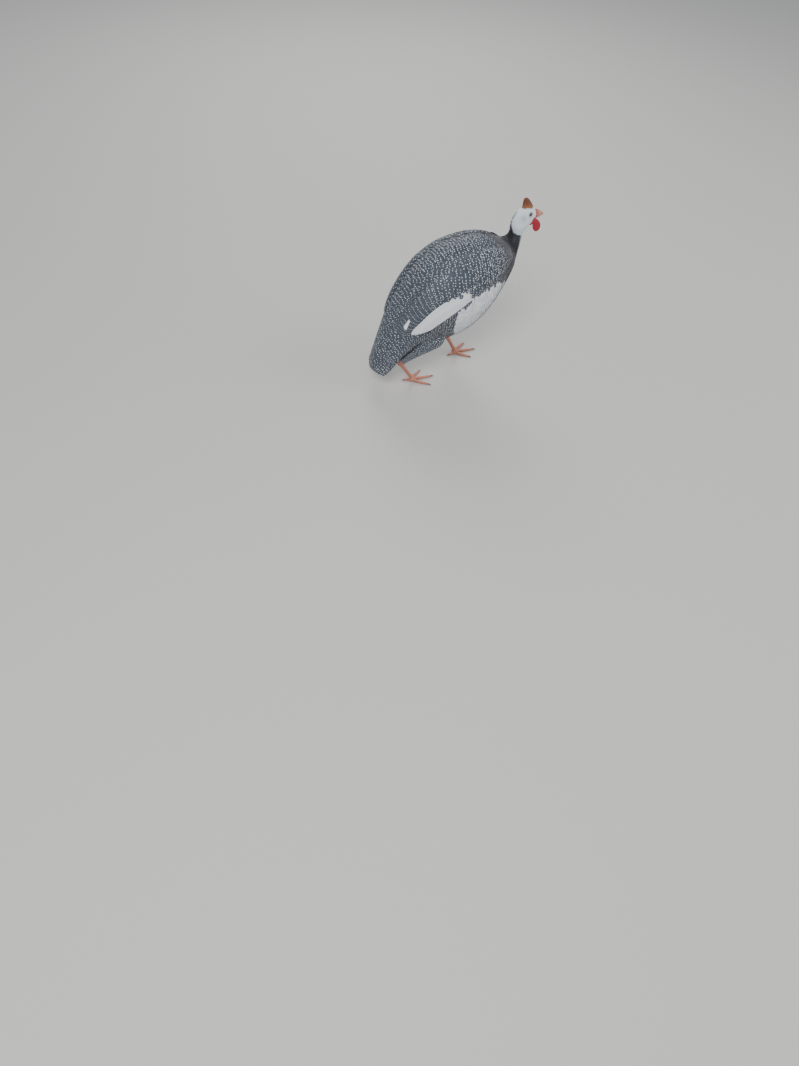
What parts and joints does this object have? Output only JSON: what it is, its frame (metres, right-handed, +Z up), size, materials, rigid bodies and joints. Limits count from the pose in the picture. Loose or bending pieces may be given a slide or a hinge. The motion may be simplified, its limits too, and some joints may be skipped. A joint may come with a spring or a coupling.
{
  "type": "guinea fowl",
  "caption": "Still model of a slate-grey guinea fowl with fine white pearls, white breast and white wing edge, walking with its neck drawn in.",
  "frame": {"origin": "on the floor, under the middle of the bounding box", "axes": "+X is the way the bird walks and its bill points, +Y its left side, +Z up"},
  "size_m": [0.4208, 0.1826, 0.4266],
  "materials": {
    "slate_feather": "soft slate-grey plumage with small white pearls",
    "white_feather": "soft white plumage",
    "face_skin": "bare white skin, faintly blue",
    "wattle_skin": "smooth red skin",
    "casque_horn": "rough brown horn",
    "bill_horn": "smooth pinkish horn",
    "leg_scale": "scaly salmon-pink skin",
    "claw_horn": "dark horn",
    "eyeball": "wet dark brown eye"
  },
  "bodies": {
    "root": {"bill_lower": "bill_horn", "bill_upper": "bill_horn", "breast": "white_feather", "casque": "casque_horn", "claw_left_hind": "claw_horn", "claw_left_inner": "claw_horn", "claw_left_middle": "claw_horn", "claw_left_outer": "claw_horn", "claw_right_hind": "claw_horn", "claw_right_inner": "claw_horn", "claw_right_middle": "claw_horn", "claw_right_outer": "claw_horn", "eye_left": "eyeball", "eye_right": "eyeball", "foot_left_hind_toe": "leg_scale", "foot_left_inner_toe": "leg_scale", "foot_left_middle_toe": "leg_scale", "foot_left_outer_toe": "leg_scale", "foot_right_hind_toe": "leg_scale", "foot_right_inner_toe": "leg_scale", "foot_right_middle_toe": "leg_scale", "foot_right_outer_toe": "leg_scale", "head": "face_skin", "neck": "slate_feather", "rump": "slate_feather", "shank_left": "leg_scale", "shank_right": "leg_scale", "tail": "slate_feather", "thigh_left": "slate_feather", "thigh_right": "slate_feather", "trunk": "slate_feather", "wattle_left": "wattle_skin", "wattle_right": "wattle_skin", "wing_left_coverts": "slate_feather", "wing_left_primaries": "white_feather", "wing_left_secondaries": "slate_feather", "wing_left_wrist": "slate_feather", "wing_right_coverts": "slate_feather", "wing_right_primaries": "white_feather", "wing_right_secondaries": "slate_feather", "wing_right_wrist": "slate_feather"}
  },
  "joints": []
}
